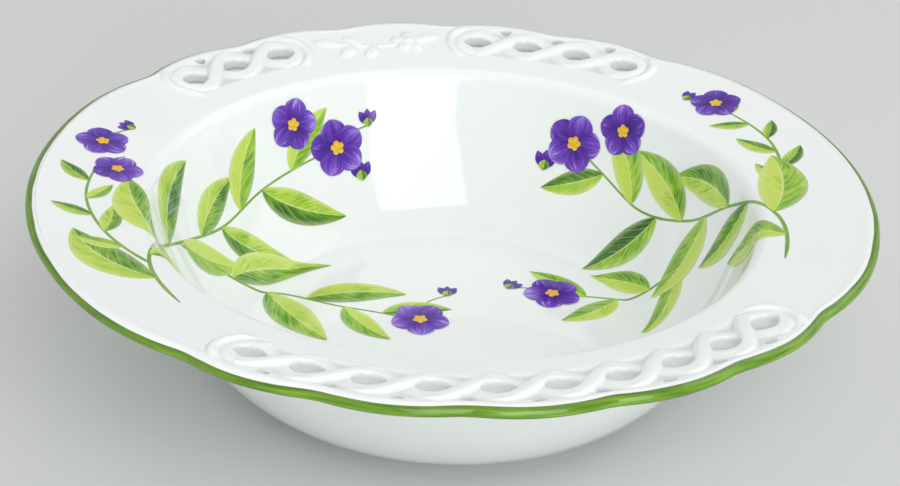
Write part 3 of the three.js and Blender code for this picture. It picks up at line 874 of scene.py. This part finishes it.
class PaintLayer:
    def __init__(self, kind):
        self.first, self.step = enamel[kind]
        self.strokes = 0
        self.bm = bmesh.new()
        self.uv = self.bm.loops.layers.uv.new("leafRun")
        self.tone = self.bm.verts.layers.float.new("leafTone")

    # place maps a vertex's two shares to a base point and an offset in mm
    def lay(self, verts, place, tone=0.0, over=0.0):
        lift = self.first + self.step * (self.strokes % enamel["layers"]) + over
        self.strokes += 1
        spread = {v: (v.co.x + 0.5, v.co.y + 0.5) for v in verts}
        for v, (u, t) in spread.items():
            base, x, y = place(u, t)
            v.co = onGlaze(base, x, y, lift)
            v[self.tone] = tone
        for face in {f for v in verts for f in v.link_faces}:
            for loop in face.loops:
                loop[self.uv].uv = spread[loop.vert]

    def grid(self, across, along):
        return bmesh.ops.create_grid(self.bm, x_segments=across, y_segments=along, size=0.5)["verts"]

    def blade(self, base, angle, length, width, tone, tip=1.0, bend=0.0, blunt=0.85, over=0.0):
        def place(u, t):
            half = enamel["bladeEnd"]
            if 0.001 < t < 0.999:  # between the ends
                half = width / 2 * math.sin(math.pi * t ** tip) ** blunt
            across = (u - 0.5) * 2 * half
            lean, turn = angle + bend * t / 2, angle + bend * t
            return (base, length * t * math.cos(lean) - across * math.sin(turn),
                    length * t * math.sin(lean) + across * math.cos(turn))
        self.lay(self.grid(*enamel["bladeGrid"]), place, tone, over)

    def line(self, path, width):
        loss, start, growth = enamel["lineTaper"]

        def place(u, t):
            spot, angle = pathSpot(path, t)
            across = (u - 0.5) * width * (1 - loss * t) * min(1, start + growth * t)
            return spot, -across * math.sin(angle), across * math.cos(angle)
        across, along = enamel["lineGrid"]
        self.lay(self.grid(across, along * len(path)), place)

    def dab(self, base, x, y, radius):
        disc = bmesh.ops.create_circle(self.bm, cap_ends=True, cap_tris=True,
                                       segments=enamel["dabSides"], radius=0.5)["verts"]
        self.lay(disc, lambda u, t: (base, x + (u - 0.5) * 2 * radius, y + (t - 0.5) * 2 * radius))

    def finish(self, name, material):
        wrong = []  # faces that look into the porcelain
        for face in self.bm.faces:
            face.normal_update()
            normal, spot = face.normal, face.calc_center_median()
            if normal.z * section["wallRadius"] * mm < normal.x * spot.x + normal.y * spot.y:
                wrong.append(face)
        bmesh.ops.reverse_faces(self.bm, faces=wrong)
        bmesh.ops.solidify(self.bm, geom=self.bm.faces[:], thickness=enamel["film"] * mm)
        for e in self.bm.edges:
            if e.calc_face_angle(0) > enamel["sharpAngle"]:
                e.smooth = False
        finishPiece(self.bm, name, [material], "porcelain")


# Stems as points of direction in degrees and distance from the middle in mm; then the leaves along
# each: count, first and last share of the stem, length, width
stems = (
    (((214, 132), (198, 126), (182, 110), (164, 96), (146, 88), (128, 92), (110, 97)),
     (11, 0.1, 0.9, 37, 14)),
    (((166, 97), (156, 78), (148, 58), (146, 36), (138, 18)), (5, 0.3, 0.9, 35, 13)),
    (((200, 127), (189, 134), (177, 138), (165, 137)), (6, 0.2, 0.95, 17, 6.5)),
    (((-30, 130), (-14, 126), (1, 112), (14, 96), (30, 90), (48, 100)), (9, 0.12, 0.92, 36, 14)),
    (((9, 102), (8, 84), (13, 64), (22, 50)), (4, 0.35, 0.92, 30, 11)),
    (((-12, 126), (1, 133), (13, 138), (25, 138)), (6, 0.25, 0.95, 16, 6)),
)
blooms = (  # direction, distance from the middle, radius, turn
    (107, 98, 10, 10), (117, 109, 9, 40), (126, 12, 9.5, 25), (158, 140, 8.5, 5), (166, 131, 8, 50),
    (51, 103, 10, 30), (40, 112, 9, 0), (29, 44, 9.5, 15), (28, 139, 8.5, 45),
)
buds = (  # direction, distance from the middle, size
    (102, 86, 4.2), (99, 104, 3.6), (80, 24, 3.6), (57, 92, 4.2), (47, 36, 3.6), (33, 134, 3.4),
    (151, 135, 3.4),
)
spray = {
    "seed": 11,
    "stemWidth": 1.3,
    "leafSize": (1.1, 0.4),  # factor at the start of a stem, and its loss to the end
    "leafVary": (0.85, 1.1),
    "leafSpread": (38, 62),  # degrees from the stem
    "leafBend": (0.2, 0.7),
    "leafTone": (-0.45, 0.3),
    "leafTip": 0.85,
    "petals": 5,
    "petalWide": 0.92,  # shares of a bloom's radius
    "petalTone": (-0.12, 0.12),
    "petalTip": 1.35,
    "petalBlunt": 0.6,
    "heartOut": 0.15,
    "heartSize": 0.1,
    "stalkWidth": 0.9,
    "stalkBow": 1.2,
    "budTurns": (60, 90, 120),
    "budPetal": (1.6, 0.8),  # shares of a bud's size
    "budTone": -0.1,
    "budTip": 1.1,
    "sepal": 0.9,
    "sepalIn": 0.5,
    "sepalTone": 0.2,
    "sepalOver": 0.24,  # more than a leaf, so it lies on its bud
}


def paintStems(lines, leaves, dice):
    grown, loss = spray["leafSize"]
    for path, (count, first, last, length, width) in stems:
        lines.line(path, spray["stemWidth"])
        for i, t in enumerate(shares(count - 1)):
            share = first + (last - first) * t
            spot, angle = pathSpot(path, share)
            side = 1 if i % 2 else -1
            size = (grown - loss * share) * dice.uniform(*spray["leafVary"])
            spread = math.radians(dice.uniform(*spray["leafSpread"])) * side
            leaves.blade(spot, angle + spread, length * size, width * size,
                         bend=-side * dice.uniform(*spray["leafBend"]),
                         tone=dice.uniform(*spray["leafTone"]), tip=spray["leafTip"])


def paintBlooms(petals, hearts, dice):
    step = 360 / spray["petals"]
    for degrees, run, radius, turn in blooms:
        base = degrees, run
        for i in range(spray["petals"]):
            petals.blade(base, math.radians(turn + step * i), radius, radius * spray["petalWide"],
                         tone=dice.uniform(*spray["petalTone"]), tip=spray["petalTip"],
                         blunt=spray["petalBlunt"])
        for i in range(spray["petals"] + 1):  # the first dab lies in the middle
            reach = radius * spray["heartOut"] if i else 0
            a = math.radians(step * i + turn)
            hearts.dab(base, reach * math.cos(a), reach * math.sin(a), radius * spray["heartSize"])


def paintBuds(lines, leaves, petals):
    long, wide = spray["budPetal"]
    for degrees, run, size in buds:
        around = glazeSpot(run)[0]
        near = min(blooms, key=lambda b: math.hypot(
            math.radians(b[0] - degrees) * around, b[1] - run))
        bow = (near[0] + degrees) / 2, (near[1] + run) / 2 + spray["stalkBow"]
        lines.line((near[:2], bow, (degrees, run)), spray["stalkWidth"])
        for turn in spray["budTurns"]:
            petals.blade((degrees, run), math.radians(turn), size * long, size * wide,
                         tone=spray["budTone"], tip=spray["budTip"])
        leaves.blade((degrees, run - spray["sepalIn"]), math.radians(90), size * spray["sepal"],
                     size * spray["sepal"], tone=spray["sepalTone"], over=spray["sepalOver"])


def paintSprays():
    dice = random.Random(spray["seed"])
    lines, leaves, petals, hearts = (PaintLayer(k) for k in ("stems", "leaves", "petals", "hearts"))
    paintStems(lines, leaves, dice)
    paintBlooms(petals, hearts, dice)
    paintBuds(lines, leaves, petals)
    lines.finish("paintedStems", stemEnamel())
    leaves.finish("paintedLeaves", leafEnamel())
    petals.finish("paintedPetals", petalEnamel())
    hearts.finish("paintedHearts", heartEnamel())


paintSprays()

# Floor, light and camera
studio = {
    "floor": "#d6d8d6",
    "floorRoughness": 0.8,
    "floorSize": 12.0,
    "world": "#ffffff",
    "worldStrength": 0.505,
    "lampAim": 0.04,  # height of the point that the lamps face
}
view = {
    "turn": math.radians(11.44),  # the camera stands this far to the left of the front
    "elevation": math.radians(26.93),
    "distance": 630.0,
    "aimHeight": 60.7,
    "roll": math.radians(2.64),
    "frame": (900, 486),
    "aimPixel": (454.2, 185.3),  # where the middle of the rim lies in the picture
    "focalPixels": 2090.8,
    "sensor": 36.0,
}
lamps = (  # name, degrees from the front, elevation, distance, width and height in m, watts
    ("window", 7.5, 30, 1.3, 0.86, 1.3, 10.2),
    ("leftPanel", -94, 46, 1.6, 1.6, 1.6, 2.6),
    ("rightPanel", 104, 40, 1.8, 1.3, 1.3, 5.0),
    ("topPanel", 170, 72, 1.8, 2.4, 1.6, 5.2),
)


def towards(turn, elevation):  # a direction from the bowl, with the turn counted from the front
    level = math.cos(elevation)
    return Vector((math.sin(turn) * level, -math.cos(turn) * level, math.sin(elevation)))


def makeFloor():
    bm = bmesh.new()
    bmesh.ops.create_grid(bm, x_segments=1, y_segments=1, size=studio["floorSize"] / 2)
    floor = addMesh("floor", bm)
    material, _, shader = newMaterial("paleFloor")
    shader.inputs["Base Color"].default_value = ink(studio["floor"])
    shader.inputs["Roughness"].default_value = studio["floorRoughness"]
    floor.data.materials.append(material)


def makeLight():
    world = bpy.data.worlds.new("studio")
    world.use_nodes = True
    background = world.node_tree.nodes["Background"]
    background.inputs["Color"].default_value = ink(studio["world"])
    background.inputs["Strength"].default_value = studio["worldStrength"]
    bpy.context.scene.world = world
    aim = Vector((0, 0, studio["lampAim"]))
    for name, turn, elevation, distance, width, height, watts in lamps:
        lamp = bpy.data.lights.new(name, "AREA")
        lamp.shape = "RECTANGLE"
        lamp.size, lamp.size_y, lamp.energy = width, height, watts
        spot = aim + distance * towards(math.radians(turn), math.radians(elevation))
        item = addObject(name, lamp)
        item.location = spot
        item.rotation_euler = (aim - spot).to_track_quat("-Z", "Y").to_euler()


def makeCamera():
    lens = bpy.data.cameras.new("photoView")
    focal, (wide, high), (aimX, aimY) = view["focalPixels"], view["frame"], view["aimPixel"]
    lens.sensor_width = view["sensor"]
    lens.lens = view["sensor"] * focal / wide
    aim = Vector((0, 0, view["aimHeight"] * mm))
    spot = aim + view["distance"] * mm * towards(-view["turn"], view["elevation"])
    right, down = (aimX - wide / 2) / focal, (aimY - high / 2) / focal
    look = (aim - spot).to_track_quat("-Z", "Y").to_matrix()
    roll = Matrix.Rotation(view["roll"], 3, "Z")
    offset = Vector((right, -down, -1)).rotation_difference(Vector((0, 0, -1))).to_matrix()
    camera = addObject("photoView", lens)
    camera.matrix_world = Matrix.Translation(spot) @ (look @ roll @ offset).to_4x4()
    bpy.context.scene.camera = camera


makeFloor()
makeLight()
makeCamera()
bpy.context.scene.view_settings.view_transform = "Standard"
print("stage, light and camera set")
